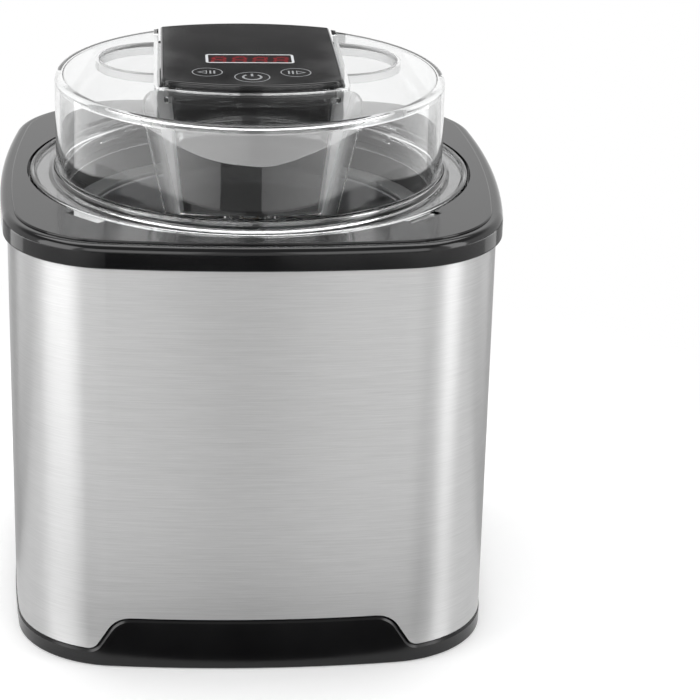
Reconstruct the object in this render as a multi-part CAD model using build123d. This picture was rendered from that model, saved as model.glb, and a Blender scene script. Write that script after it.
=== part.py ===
from build123d import *
import os
from math import acos, atan2, cos, hypot, pi, radians, sin, sqrt, tan

# Driving dimensions in millimetres. +Z is up, the control head faces -Y and the
# origin is on the table under the middle of the machine.
RING_WIDTH = 230.0         # moulded top ring, the widest piece
BODY_WIDTH = 224.4         # brushed steel wrap below it
SIDE_RADIUS = 546.0        # the four sides bow outwards on this radius
CORNER_RADIUS = 49.5       # plan radius of the four corners
FOOT_HEIGHT = 0.6          # rubber feet lift the base this far off the table
RIM_TOP = 8.2              # top of the base rim at the sides and back
PLINTH_TOP = 24.7          # top of the raised plinth in the middle of the front
RING_LOW = 192.8           # lower edge of the top ring
RING_TOP = 204.2           # deck of the top ring
LID_RADIUS = 89.8          # clear drum of the lid
LID_TOP = 249.7
FLANGE_RADIUS = 101.9      # clear flange that drops into the top ring
HEAD_HALF_WIDTH = 41.2     # control head of the drive unit
HEAD_TOP = 253.0
BOWL_TOP = 183.0           # rim of the freezer bowl
BOWL_FLOOR = 42.0          # floor inside the freezer bowl
BOWL_MOUTH_RADIUS = 75.0   # inside of the bowl at its rim
GEAR_MODULE = 0.6
PINION_TEETH = 14
WHEEL_TEETH = 49

BODY_HALF = BODY_WIDTH / 2
RING_HALF = RING_WIDTH / 2
PARTS_FOLDER = "parts"
os.makedirs(PARTS_FOLDER, exist_ok=True)


# Shared plan outline of the body: four bowed sides joined by tangent corners
SIDE_CENTRE = SIDE_RADIUS - BODY_HALF
CORNER_REACH = SIDE_RADIUS - CORNER_RADIUS
CORNER_CENTRE = (sqrt(2 * CORNER_REACH**2 - SIDE_CENTRE**2) - SIDE_CENTRE) / 2
SIDE_ANGLE = atan2(CORNER_CENTRE, CORNER_CENTRE + SIDE_CENTRE)


def cushion(half_width):
    """Bowed square, parallel to the body's outline, with the given half width."""
    side_radius = half_width + SIDE_CENTRE
    corner_radius = CORNER_RADIUS + half_width - BODY_HALF
    end_x = side_radius * sin(SIDE_ANGLE)
    end_y = SIDE_CENTRE - side_radius * cos(SIDE_ANGLE)
    corner_mid = CORNER_CENTRE + corner_radius / sqrt(2)
    side = ThreePointArc((-end_x, end_y), (0, -half_width), (end_x, end_y))
    corner = ThreePointArc((end_x, end_y), (corner_mid, -corner_mid), (-end_y, -end_x))
    return make_face([Rot(Z=90 * turn) * edge for turn in range(4) for edge in (side, corner)])


def cushion_level(point):
    """Half width of the cushion outline that passes through a point."""
    along, out = sorted((abs(point.X), abs(point.Y)))
    if atan2(along, out + SIDE_CENTRE) <= SIDE_ANGLE:
        return hypot(along, out + SIDE_CENTRE) - SIDE_CENTRE
    return hypot(along - CORNER_CENTRE, out - CORNER_CENTRE) - CORNER_RADIUS + BODY_HALF


def slab(plan, low, high):
    """Straight prism of a plan outline between two heights."""
    return extrude(Pos(0, 0, low) * plan, high - low)


def rod(radius, low, high, x=0.0, y=0.0):
    """Upright round bar between two heights."""
    return slab(Pos(x, y) * Circle(radius), low, high)


def turned(points, radii=0):
    """Solid of revolution from radius and height pairs, with its corners rounded."""
    outline = FilletPolyline(*points, radius=radii, close=True)
    return revolve(Plane.XZ * make_face(outline), Axis.Z)


def corners(reach_x, reach_y):
    """Four places, one in each quadrant."""
    return [(side * reach_x, end * reach_y) for side in (-1, 1) for end in (-1, 1)]


def save(node, shape):
    """Write one node of the assembly."""
    export_step(shape, os.path.join(PARTS_FOLDER, node + ".step"))


# Base tray: one moulding, with the plinth rising into a cut-out of the steel
BASE_HALF = BODY_HALF + 0.3
BASE_WALL = 2.6
BASE_FLOOR = 2.4
BASE_BEVEL = 1.6
PLINTH_HALF_TOP = 62.0
PLINTH_HALF_FOOT = 72.2
PLINTH_ROUNDING = (6.0, 12.0, 12.0, 6.0)
STEEL_GAUGE = 0.7
STEEL_CLEARANCE = 0.35
FAR = 150.0
LIP_TOP = 18.0
FOOT_PLACES = corners(76.0, 76.0)
FOOT_RADIUS = 9.0
FOOT_SOCKET = 1.2
SCREW_PLACES = corners(57.0, 57.0)
BASE_BOSS_TOP = 9.0
BASE_BOSS_RADIUS = 6.5
SCREW_RECESS = 3.6
SCREW_RECESS_RADIUS = 4.3
SCREW_HOLE_RADIUS = 2.1
LIP_GAP = 0.25
LIP_DEPTH = 2.6
FOOT_GAP = 0.2
FOOT_CHAMFER = 0.5


def skirt_region(grow):
    """Everything below the line where the steel stops, raised over the plinth."""
    rim = RIM_TOP + grow
    foot = PLINTH_HALF_FOOT + grow
    top = PLINTH_HALF_TOP + grow
    points = [(-FAR, -FAR), (-FAR, rim), (-foot, rim), (-top, PLINTH_TOP + grow),
              (top, PLINTH_TOP + grow), (foot, rim), (FAR, rim), (FAR, -FAR)]
    rounding = (0, 0) + PLINTH_ROUNDING + (0, 0)
    front = extrude(Plane.XZ * make_face(FilletPolyline(*points, radius=rounding, close=True)), FAR)
    back = Pos(0, FAR / 2, (rim - FAR) / 2) * Box(2 * FAR, FAR, rim + FAR)
    return front + back


base_wall = slab(cushion(BASE_HALF) - cushion(BASE_HALF - BASE_WALL), FOOT_HEIGHT, PLINTH_TOP + 1)
base_wall = base_wall & skirt_region(0)
upper_edges = [
    edge for edge in base_wall.edges()
    if cushion_level(edge @ 0.5) > BASE_HALF - 0.05 and (edge @ 0.5).Z > FOOT_HEIGHT + 1
    and (edge @ 0).Z > FOOT_HEIGHT + 1 and (edge @ 1).Z > FOOT_HEIGHT + 1
]
base_wall = chamfer(upper_edges, BASE_BEVEL)
steel_inside = BODY_HALF - STEEL_GAUGE
base_lip = slab(cushion(steel_inside - LIP_GAP) - cushion(steel_inside - LIP_DEPTH), FOOT_HEIGHT, LIP_TOP)
base_tray = base_wall + base_lip + slab(cushion(BASE_HALF - 1), FOOT_HEIGHT, FOOT_HEIGHT + BASE_FLOOR)
for place in SCREW_PLACES:
    base_tray += rod(BASE_BOSS_RADIUS, FOOT_HEIGHT, BASE_BOSS_TOP, *place)
for place in SCREW_PLACES:
    base_tray -= rod(SCREW_RECESS_RADIUS, FOOT_HEIGHT, FOOT_HEIGHT + SCREW_RECESS, *place)
    base_tray -= rod(SCREW_HOLE_RADIUS, FOOT_HEIGHT, BASE_BOSS_TOP, *place)
for place in FOOT_PLACES:
    base_tray -= rod(FOOT_RADIUS + FOOT_GAP, FOOT_HEIGHT, FOOT_HEIGHT + FOOT_SOCKET, *place)
save("base_tray", base_tray)

foot = rod(FOOT_RADIUS, 0, FOOT_HEIGHT + FOOT_SOCKET)
foot = chamfer(foot.faces().sort_by(Axis.Z)[0].edges(), FOOT_CHAMFER)
save("rubber_feet", Compound([Pos(*place) * foot.solid() for place in FOOT_PLACES]))

# Brushed steel wrap: a bent sheet whose ends meet in a seam at the back
STEEL_TOP = 200.0
SEAM_GAP = 0.4
steel_shell = slab(cushion(BODY_HALF) - cushion(steel_inside), RIM_TOP, STEEL_TOP)
steel_shell -= skirt_region(STEEL_CLEARANCE)
steel_shell -= Pos(0, BODY_HALF, STEEL_TOP / 2) * Box(SEAM_GAP, 10, STEEL_TOP)
save("steel_shell", steel_shell)

# Inner bucket: holds the freezer bowl and hangs from the top ring by a flange
BUCKET_RADIUS = 88.5
BUCKET_DRAFT = 1.6
BUCKET_WALL = 2.2
BUCKET_FLOOR = 24.0
BUCKET_UNDERSIDE = 21.5
BUCKET_ROUNDING_OUT = 6.0
BUCKET_ROUNDING_IN = 4.0
FLANGE_LOW = 194.4
FLANGE_HIGH = 197.2
FLANGE_HALF = 108.5
KEY_RIB_WIDTH = 6.0
KEY_RIB_HEIGHT = 2.6
KEY_RIB_LENGTH = 152.0
PILLAR_RADIUS = 5.5
PILLAR_HOLE_RADIUS = 1.7
FLANGE_HOLE_RADIUS = 1.8
RING_SCREW_PLACES = corners(82.0, 82.0)
bucket = turned(
    [
        (0, BUCKET_UNDERSIDE),
        (BUCKET_RADIUS - BUCKET_DRAFT + BUCKET_WALL, BUCKET_UNDERSIDE),
        (BUCKET_RADIUS + BUCKET_WALL, FLANGE_HIGH),
        (BUCKET_RADIUS, FLANGE_HIGH),
        (BUCKET_RADIUS - BUCKET_DRAFT, BUCKET_FLOOR),
        (0, BUCKET_FLOOR),
    ],
    (0, BUCKET_ROUNDING_OUT, 0, 0, BUCKET_ROUNDING_IN, 0),
)
bucket += slab(cushion(FLANGE_HALF) - Circle(BUCKET_RADIUS + 1), FLANGE_LOW, FLANGE_HIGH)
key_rib = Rectangle(KEY_RIB_LENGTH, KEY_RIB_WIDTH)
bucket += slab(key_rib, BUCKET_FLOOR, BUCKET_FLOOR + KEY_RIB_HEIGHT)
for place in SCREW_PLACES:
    bucket += rod(PILLAR_RADIUS, BASE_BOSS_TOP, BUCKET_FLOOR - 1, *place)
    bucket -= rod(PILLAR_HOLE_RADIUS, BASE_BOSS_TOP, BUCKET_UNDERSIDE - 0.5, *place)
for place in RING_SCREW_PLACES:
    bucket -= rod(FLANGE_HOLE_RADIUS, FLANGE_LOW, FLANGE_HIGH, *place)
save("inner_bucket", bucket)

# Top ring: black moulding with a stepped shoulder, a ledge and four notches for the lid
LEDGE = 200.2
SHOULDER_STEP = 0.8
SHOULDER_WIDTH = 5.2
SHOULDER_ROUNDING = 3.2
UNDER_ROUNDING = 0.8
DECK_ROUNDING = 0.6
RECESS_RADIUS = 103.2
NOTCH_RADIUS = 107.4
NOTCH_WIDTH = 20.0
LUG_RADIUS = 106.4
LUG_WIDTH = 18.4
POCKET_RADIUS = 109.0
POCKET_HALF = BODY_HALF + 0.3
POCKET_TOP = 200.8
RING_BOSS_RADIUS = 4.5
RING_BOSS_HOLE = 1.45
RING_HOLE_DEPTH = 4.8
shoulder = slab(cushion(RING_HALF), RING_LOW, RING_TOP - SHOULDER_STEP)
shoulder = fillet(shoulder.faces().sort_by(Axis.Z)[-1].edges(), SHOULDER_ROUNDING)
shoulder = fillet(shoulder.faces().sort_by(Axis.Z)[0].edges(), UNDER_ROUNDING)
deck = slab(cushion(RING_HALF - SHOULDER_WIDTH), RING_LOW + 2, RING_TOP)
deck = fillet(deck.faces().sort_by(Axis.Z)[-1].edges(), DECK_ROUNDING)
top_ring = shoulder + deck
top_ring -= rod(RECESS_RADIUS, LEDGE, RING_TOP + 1)
for turn in range(4):
    notch = Pos(NOTCH_RADIUS / 2, 0) * Rectangle(NOTCH_RADIUS, NOTCH_WIDTH)
    top_ring -= Rot(Z=45 + 90 * turn) * slab(notch, LEDGE, RING_TOP + 1)
top_ring -= rod(BUCKET_RADIUS, RING_LOW, RING_TOP)
top_ring -= slab(cushion(POCKET_HALF), RING_LOW, FLANGE_HIGH)
top_ring -= slab(cushion(POCKET_HALF) - Circle(POCKET_RADIUS), FLANGE_HIGH, POCKET_TOP)
for place in RING_SCREW_PLACES:
    top_ring += rod(RING_BOSS_RADIUS, FLANGE_HIGH, POCKET_TOP, *place)
    top_ring -= rod(RING_BOSS_HOLE, FLANGE_HIGH, FLANGE_HIGH + RING_HOLE_DEPTH, *place)
save("top_ring", top_ring)


DRIVE_SLOT = (2.6, 0.8, 1.6)
HEAD_CHAMFER = 0.6


def screw(head_radius, head_height, shank_radius, length):
    """Pan-head screw, head down, with the underside of its head at z = 0."""
    head = chamfer(rod(head_radius, -head_height, 0).faces().sort_by(Axis.Z)[0].edges(), HEAD_CHAMFER)
    for turn in (0, 90):
        head -= Pos(0, 0, -head_height) * Rot(Z=turn) * Box(*DRIVE_SLOT)
    return (head + rod(shank_radius, 0, length)).solid()


base_screw = screw(head_radius=3.7, head_height=2.5, shank_radius=1.65, length=15.0)
base_screw_seat = FOOT_HEIGHT + SCREW_RECESS
save("base_screws", Compound([Pos(*place, base_screw_seat) * base_screw for place in SCREW_PLACES]))
ring_screw = screw(head_radius=3.2, head_height=2.2, shank_radius=1.4, length=7.0)
save("ring_screws", Compound([Pos(*place, FLANGE_LOW) * ring_screw for place in RING_SCREW_PLACES]))

# Freezer bowl: aluminium cup in a plastic shell, gel between them, sealed by a rim
BOWL_DRAFT = 2.5
CUP_WALL = 1.2
CUP_ROUNDING = 14.0
CUP_LIP_RADIUS = 80.0
SHELL_RADIUS = 85.6
SHELL_WALL = 2.0
SHELL_DRAFT = 2.2
SHELL_LOW = 27.0
SHELL_FLOOR_TOP = 29.2
FOOT_RING = (66.0, 78.0)
FOOT_RING_LOW = BUCKET_FLOOR + 0.1
KEY_SLOT_GAP = 0.8
RIM_PLATE = 2.0
RIM_LOW = 173.0
PIVOT_RADIUS = 4.0
PIVOT_TOP = 50.0
PIVOT_ROUNDING = 2.0
RIM_STEP = 0.4
PLUG_GAP = 0.3
cup_base = BOWL_MOUTH_RADIUS - BOWL_DRAFT
lip_top = BOWL_TOP - RIM_PLATE
bowl_cup = turned(
    [
        (0, BOWL_FLOOR - CUP_WALL),
        (cup_base + CUP_WALL, BOWL_FLOOR - CUP_WALL),
        (BOWL_MOUTH_RADIUS + CUP_WALL, lip_top - CUP_WALL),
        (CUP_LIP_RADIUS, lip_top - CUP_WALL),
        (CUP_LIP_RADIUS, lip_top),
        (BOWL_MOUTH_RADIUS, lip_top),
        (cup_base, BOWL_FLOOR),
        (0, BOWL_FLOOR),
    ],
    (0, CUP_ROUNDING + CUP_WALL, 0, 0, 0, 1.0, CUP_ROUNDING, 0),
)
pivot = rod(PIVOT_RADIUS, BOWL_FLOOR - CUP_WALL / 2, PIVOT_TOP)
pivot = fillet(pivot.faces().sort_by(Axis.Z)[-1].edges(), PIVOT_ROUNDING)
save("bowl_cup", bowl_cup + pivot)

shell_base = SHELL_RADIUS - SHELL_DRAFT
bowl_shell = turned(
    [
        (0, SHELL_LOW),
        (FOOT_RING[0], SHELL_LOW),
        (FOOT_RING[0], FOOT_RING_LOW),
        (FOOT_RING[1], FOOT_RING_LOW),
        (FOOT_RING[1], SHELL_LOW),
        (shell_base, SHELL_LOW),
        (SHELL_RADIUS, lip_top),
        (SHELL_RADIUS - SHELL_WALL, lip_top),
        (shell_base - SHELL_WALL, SHELL_FLOOR_TOP),
        (0, SHELL_FLOOR_TOP),
    ],
    (0, 0, 0, 0, 0, 4, 0, 0, 2, 0),
)
key_slot = Box(2 * SHELL_RADIUS, KEY_RIB_WIDTH + KEY_SLOT_GAP, 2 * (SHELL_LOW - BUCKET_FLOOR))
bowl_shell -= Pos(0, 0, BUCKET_FLOOR) * key_slot
save("bowl_shell", bowl_shell)

plug_in = CUP_LIP_RADIUS + RIM_STEP
plug_out = SHELL_RADIUS - SHELL_WALL - PLUG_GAP
bowl_rim = turned(
    [
        (BOWL_MOUTH_RADIUS + RIM_STEP, lip_top),
        (plug_in, lip_top),
        (plug_in, RIM_LOW),
        (plug_out, RIM_LOW),
        (plug_out, lip_top),
        (SHELL_RADIUS + RIM_STEP, lip_top),
        (SHELL_RADIUS + RIM_STEP, BOWL_TOP),
        (BOWL_MOUTH_RADIUS + RIM_STEP, BOWL_TOP),
    ],
    (0, 0, 0, 0, 0, 0.4, 0.8, 0.8),
)
save("bowl_rim", bowl_rim)

GEL_GAP = 0.3
GEL_TOP = 168.0
gel_rise = (GEL_TOP - BOWL_FLOOR) / (lip_top - BOWL_FLOOR)
gel_in = cup_base + CUP_WALL + GEL_GAP
shell_rise = (GEL_TOP - SHELL_LOW) / (lip_top - SHELL_LOW)
gel_out = shell_base - SHELL_WALL - GEL_GAP
coolant_gel = turned(
    [
        (0, SHELL_FLOOR_TOP + GEL_GAP),
        (gel_out, SHELL_FLOOR_TOP + GEL_GAP),
        (gel_out + SHELL_DRAFT * shell_rise, GEL_TOP),
        (gel_in + BOWL_DRAFT * gel_rise, GEL_TOP),
        (gel_in, BOWL_FLOOR - CUP_WALL - GEL_GAP),
        (0, BOWL_FLOOR - CUP_WALL - GEL_GAP),
    ],
    (0, 3, 0, 0, CUP_ROUNDING, 0),
)
save("coolant_gel", coolant_gel)

# Paddle: moulded frame that scrapes the cup, with pitched vanes and a square socket
PADDLE_THICKNESS = 5.0
PADDLE_RAIL = 9.0
PADDLE_LOW = 44.0
PADDLE_ARM_TOP = 152.0
PADDLE_GAP = 2.0
HUB_RADIUS = 9.0
HUB_LOW = 140.0
HUB_TOP = 185.0
STEM_RADIUS = 6.5
SHAFT_SQUARE = 8.0
SOCKET_CLEARANCE = 0.3
SOCKET_FLOOR = 160.0
VANE_PITCH = 38.0
VANE_SIZE = (2.4, 15.0)
VANE_HEIGHTS = (82.0, 114.0)
PIVOT_GAP = 0.35
paddle_foot = cup_base - PADDLE_GAP
paddle_rise = (PADDLE_ARM_TOP - BOWL_FLOOR) / (lip_top - BOWL_FLOOR)
paddle_shoulder = paddle_foot + BOWL_DRAFT * paddle_rise
rail_outline = [
    (0, PADDLE_LOW),
    (paddle_foot, PADDLE_LOW),
    (paddle_shoulder, PADDLE_ARM_TOP - 22),
    (paddle_shoulder - 14, PADDLE_ARM_TOP - 8),
    (0, PADDLE_ARM_TOP),
]
window_outline = [
    (STEM_RADIUS, PADDLE_LOW + PADDLE_RAIL),
    (paddle_foot - PADDLE_RAIL, PADDLE_LOW + PADDLE_RAIL),
    (paddle_shoulder - PADDLE_RAIL, PADDLE_ARM_TOP - 26),
    (paddle_shoulder - 20, PADDLE_ARM_TOP - 17),
    (STEM_RADIUS, PADDLE_ARM_TOP - 10),
]
rail = make_face(FilletPolyline(*rail_outline, radius=(0, 15, 8, 8, 0), close=True))
window = make_face(FilletPolyline(*window_outline, radius=(4, 9, 4, 4, 4), close=True))
wing = extrude(Plane.XZ * (rail - window), PADDLE_THICKNESS / 2, both=True)
vane_reach = paddle_foot - 2
for height in VANE_HEIGHTS:
    wing += Pos(vane_reach / 2, 0, height) * Rot(X=VANE_PITCH) * Box(vane_reach, *VANE_SIZE)
paddle = wing + Rot(Z=180) * wing
paddle += rod(STEM_RADIUS, PADDLE_LOW + 0.6, HUB_LOW + 2)
paddle += rod(HUB_RADIUS, HUB_LOW, HUB_TOP)
paddle -= rod(PIVOT_RADIUS + PIVOT_GAP, PADDLE_LOW - 1, PIVOT_TOP + 2 * PIVOT_GAP)
socket_side = SHAFT_SQUARE + 2 * SOCKET_CLEARANCE
paddle -= slab(Rectangle(socket_side, socket_side), SOCKET_FLOOR, HUB_TOP)
save("mixing_paddle", paddle)

# Plan of the control head: parallel sides, a bowed front and a back that follows the drum
HEAD_FRONT = -33.8
HEAD_FRONT_RADIUS = 109.0
HEAD_BACK_RADIUS = 89.0
HEAD_SEAT = 243.6          # floor of the recess in the lid
HEAD_LOW = 244.0           # underside of the head
CROWN_RADIUS = 1500.0
CROWN_APEX = -1.7
HEAD_CORNER_FRONT = 5.0
HEAD_CORNER_BACK = 2.0


def head_plan(half_width, front, back_radius):
    """Outline with straight sides, a bowed front and a back on a circle about the axis."""
    front_side = front + HEAD_FRONT_RADIUS - sqrt(HEAD_FRONT_RADIUS**2 - half_width**2)
    back_side = sqrt(back_radius**2 - half_width**2)
    edges = [
        ThreePointArc((-half_width, front_side), (0, front), (half_width, front_side)),
        Line((half_width, front_side), (half_width, back_side)),
        ThreePointArc((half_width, back_side), (0, back_radius), (-half_width, back_side)),
        Line((-half_width, back_side), (-half_width, front_side)),
    ]
    plan = make_face(edges)
    front_corners = plan.vertices().sort_by(Axis.Y)[:2]
    plan = fillet(front_corners, HEAD_CORNER_FRONT)
    return fillet(plan.vertices().sort_by(Axis.Y)[-2:], HEAD_CORNER_BACK)


def tub_plan(half_width, front, back, rounding):
    """Outline of the lower drive housing, bowed at the front like the head."""
    front_side = front + HEAD_FRONT_RADIUS - sqrt(HEAD_FRONT_RADIUS**2 - half_width**2)
    edges = [
        ThreePointArc((-half_width, front_side), (0, front), (half_width, front_side)),
        Line((half_width, front_side), (half_width, back)),
        Line((half_width, back), (-half_width, back)),
        Line((-half_width, back), (-half_width, front_side)),
    ]
    plan = make_face(edges)
    return fillet(plan.vertices(), rounding)


# Lower drive housing and the well it drops into share one tapered outline
TUB_HALF = 39.0
TUB_FRONT = -33.0
TUB_BACK = 38.0
TUB_ROUNDING = 11.0
TUB_TAPER = 6.8
TUB_WALL = 2.2
TUB_LOW = 190.2
WELL_GAP = 0.7
WELL_WALL = 2.3
WELL_LOW = 187.0


def tapered_tub(grow, high, low):
    """Tub whose sides lean in towards the bottom, grown sideways all round."""
    step_in = (HEAD_SEAT - high) * tan(radians(TUB_TAPER))
    size = grow - step_in
    plan = tub_plan(TUB_HALF + size, TUB_FRONT - size, TUB_BACK + size, TUB_ROUNDING + grow)
    return extrude(Pos(0, 0, high) * plan, low - high, taper=TUB_TAPER)


# Clear lid: drum, flange with a bead, four lugs and two half-round filler openings with
# short skirts. Its top is cut out where the seat of the drive unit is welded in.
LID_WALL = 2.4
FLANGE_TOP = 203.4
BEAD_TOP = 204.7
BEAD_WIDTH = 2.6
SKIRT_LOW = 193.5
SKIRT_OUT = 88.0
SKIRT_IN = 85.5
RECESS_HALF = HEAD_HALF_WIDTH + 1.0
RECESS_FRONT = -34.5
RECESS_WALL = 2.2
RECESS_FLOOR = 2.2
FILLER_CENTRE = (42.0, 25.0)
FILLER_RADIUS = 28.0
FILLER_WALL = 1.8
FILLER_SKIRT = 6.0
FILLER_FLAT = RECESS_HALF + RECESS_WALL
WELD_GAP = 0.1
LUG_THICKNESS = 2.8
LUG_ROOT = 3.0
LID_SEAT = LEDGE + 0.1
lid_in = LID_RADIUS - LID_WALL
clear_lid = turned(
    [
        (0, LID_TOP),
        (LID_RADIUS, LID_TOP),
        (LID_RADIUS, FLANGE_TOP),
        (FLANGE_RADIUS - BEAD_WIDTH, FLANGE_TOP),
        (FLANGE_RADIUS - BEAD_WIDTH, BEAD_TOP),
        (FLANGE_RADIUS, BEAD_TOP),
        (FLANGE_RADIUS, LID_SEAT),
        (SKIRT_OUT, LID_SEAT),
        (SKIRT_OUT, SKIRT_LOW),
        (SKIRT_IN, SKIRT_LOW),
        (SKIRT_IN, FLANGE_TOP + 1),
        (lid_in, FLANGE_TOP + 4),
        (lid_in, LID_TOP - LID_WALL),
        (0, LID_TOP - LID_WALL),
    ],
    (0, 3.0, 3.5, 0.6, 0.8, 1.0, 0.6, 0, 0.5, 0.5, 1.5, 1.5, 2.0, 0),
)
recess_plan = head_plan(RECESS_HALF, RECESS_FRONT, HEAD_BACK_RADIUS + 4)
seat_low = HEAD_SEAT - RECESS_FLOOR
half_plane = Pos(FILLER_FLAT + FAR / 2, 0) * Rectangle(FAR, 2 * FAR)
filler = (Pos(*FILLER_CENTRE) * Circle(FILLER_RADIUS)) & half_plane
collar = (Pos(*FILLER_CENTRE) * Circle(FILLER_RADIUS + FILLER_WALL)) & half_plane
filler_cut = slab(filler, HEAD_SEAT - 10, LID_TOP + 1)
filler_collar = slab(collar, LID_TOP - FILLER_SKIRT, LID_TOP - 1)
clear_lid = clear_lid + filler_collar + mirror(filler_collar, Plane.YZ)
clear_lid = clear_lid - filler_cut - mirror(filler_cut, Plane.YZ)
clear_lid -= slab(offset(recess_plan, RECESS_WALL + WELD_GAP), seat_low - WELD_GAP, LID_TOP + 1)
for turn in range(4):
    lug_length = LUG_RADIUS - FLANGE_RADIUS + LUG_ROOT
    lug = Pos(LUG_RADIUS - lug_length / 2, 0) * Rectangle(lug_length, LUG_WIDTH)
    clear_lid += Rot(Z=45 + 90 * turn) * slab(lug, LID_SEAT, LID_SEAT + LUG_THICKNESS)
save("clear_lid", clear_lid)

# Clear seat: a second moulding, with a recess that takes the head, a well that takes the
# lower drive housing and a rib that braces each front corner of the well
SHAFT_HOLE_RADIUS = 12.0
RIB_ANGLE = -35.0
RIB_THICKNESS = 2.0
RIB_ROOT = 28.0
RIB_REACH_LOW = 47.0
RIB_REACH_TOP = 61.6
RIB_ROUNDING = 6.0
seat_block = slab(offset(recess_plan, RECESS_WALL), seat_low, LID_TOP)
clear_well = seat_block & rod(LID_RADIUS - 0.5, seat_low, LID_TOP)
clear_well += tapered_tub(WELL_GAP + WELL_WALL, HEAD_SEAT, WELL_LOW)
rib_top = LID_TOP - LID_WALL - WELD_GAP
rib_outline = [(RIB_ROOT, WELL_LOW), (RIB_REACH_LOW, WELL_LOW), (RIB_REACH_TOP, rib_top), (RIB_ROOT, rib_top)]
rib_face = make_face(FilletPolyline(*rib_outline, radius=(0, 1, RIB_ROUNDING, 0), close=True))
rib = Rot(Z=RIB_ANGLE) * extrude(Plane.XZ * rib_face, RIB_THICKNESS / 2, both=True)
clear_well = clear_well + rib + mirror(rib, Plane.YZ)
clear_well -= slab(recess_plan, HEAD_SEAT, LID_TOP + 1)
clear_well -= tapered_tub(WELL_GAP, HEAD_SEAT, WELL_LOW + WELL_WALL)
clear_well -= rod(SHAFT_HOLE_RADIUS, WELL_LOW - 1, WELL_LOW + WELL_WALL + 1)
save("clear_well", clear_well)

# Drive unit, lower housing: tub with gearbox posts, a bush boss and a closed tail
TUB_FLOOR_TOP = TUB_LOW + 2.2
PLATE_LOW = 211.0
PLATE_HIGH = 213.0
POST_PLACES = [(-22.0, 20.0), (22.0, -16.0), (-22.0, -16.0)]
LAY_ANGLE = 45.0
LAY_DISTANCE = GEAR_MODULE * (PINION_TEETH + WHEEL_TEETH) / 2
LAY_PLACE = (LAY_DISTANCE * cos(radians(LAY_ANGLE)), LAY_DISTANCE * sin(radians(LAY_ANGLE)))
PIN_RADIUS = 1.25
BUSH_RADIUS = 6.5
BUSH_TOP = 196.4
TAIL_TOP = HEAD_LOW + 2.0
TAIL_INSET = 2.5
POST_RADIUS = 4.0
POST_HOLE_RADIUS = 1.25
POST_HOLE_DEPTH = 9.0
BUSH_BOSS_RADIUS = 9.5
BUSH_FLANGE = 1.2
PRESS_GAP = 0.02
PIN_GAP = 0.01
TAIL_RECESS = 1.2
TAIL_RECESS_RADIUS = 3.2
TAIL_HOLE_RADIUS = 1.6
TAIL_SCREW_PLACES = [(side * 30.0, depth) for side in (-1, 1) for depth in (50.0, 68.0)]
tail_plan = head_plan(HEAD_HALF_WIDTH - TAIL_INSET, HEAD_FRONT + TAIL_INSET, HEAD_BACK_RADIUS - TAIL_INSET)
tail_plan = tail_plan & (Pos(0, TUB_BACK - 4 + FAR / 2) * Rectangle(2 * FAR, FAR))
drive_tub = tapered_tub(0, HEAD_LOW, TUB_LOW) + slab(tail_plan, HEAD_LOW, TAIL_TOP)
drive_tub -= tapered_tub(-TUB_WALL, HEAD_LOW, TUB_FLOOR_TOP)
mouth_half = TUB_HALF - TUB_WALL
mouth_plan = tub_plan(mouth_half, TUB_FRONT + TUB_WALL, TUB_BACK - TUB_WALL, TUB_ROUNDING - TUB_WALL)
drive_tub -= slab(mouth_plan, HEAD_LOW, TAIL_TOP)
for place in POST_PLACES:
    drive_tub += rod(POST_RADIUS, TUB_LOW + 1, PLATE_LOW, *place)
    drive_tub -= rod(POST_HOLE_RADIUS, PLATE_LOW - POST_HOLE_DEPTH, PLATE_LOW, *place)
drive_tub += rod(POST_RADIUS, TUB_LOW + 1, BUSH_TOP, *LAY_PLACE)
drive_tub += rod(BUSH_BOSS_RADIUS, TUB_LOW, BUSH_TOP - BUSH_FLANGE)
drive_tub -= rod(BUSH_RADIUS + PRESS_GAP, TUB_LOW, BUSH_TOP)
drive_tub -= rod(PIN_RADIUS + PIN_GAP, TUB_FLOOR_TOP, BUSH_TOP, *LAY_PLACE)
for place in TAIL_SCREW_PLACES:
    drive_tub -= rod(TAIL_RECESS_RADIUS, HEAD_LOW, HEAD_LOW + TAIL_RECESS, *place)
    drive_tub -= rod(TAIL_HOLE_RADIUS, HEAD_LOW, TAIL_TOP, *place)
save("drive_tub", drive_tub)

# Drive unit, control head: crowned cover with the panel film let into its top
COVER_WALL = 2.2
FILM_THICKNESS = 0.8
FILM_MARGIN = 1.2
FILM_GAP = 0.1
BED_GAP = 0.05
HEAD_ROUNDING = 0.9
CEILING = 3.0
WINDOW_SIZE = (41.4, 16.4)
WINDOW_CENTRE = (0.0, 11.2)
MODULE_SIZE = (39.6, 14.6)
MODULE_TOP = 251.7
KEYS = {
    "minus_key": ((-20.2, -12.8), 6.3),
    "power_key": ((0.0, -20.7), 7.4),
    "plus_key": ((20.2, -12.8), 6.3),
}
KEY_TRAVEL = 0.6
KEY_GAP = 0.25
KEY_STEM_RADIUS = 2.0
BOARD_LOW = 238.6
BOARD_TOP = 240.2
BOARD_INSET = 5.0
BOARD_ROUNDING = 6.0
BOARD_HOLE_RADIUS = 1.3
BOARD_POSTS = [(side * 27.5, depth) for side in (-1, 1) for depth in (-2.0, 28.0)]
GLAND_SIZE = (5.6, 3.0)
GLAND_HEIGHT = 247.1
GLAND_WALL = (1.8, 1.4)
GLAND_GAP = 0.2
GLAND_PROUD = 0.6
BOARD_POST_RADIUS = 3.0
BOARD_POST_HOLE = (1.1, 6.0)
TAIL_POST_RADIUS = 3.4
TAIL_POST_HOLE = (1.25, 3.0)
WINDOW_LEDGE = 0.5
STEM_GAP = 0.3


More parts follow.
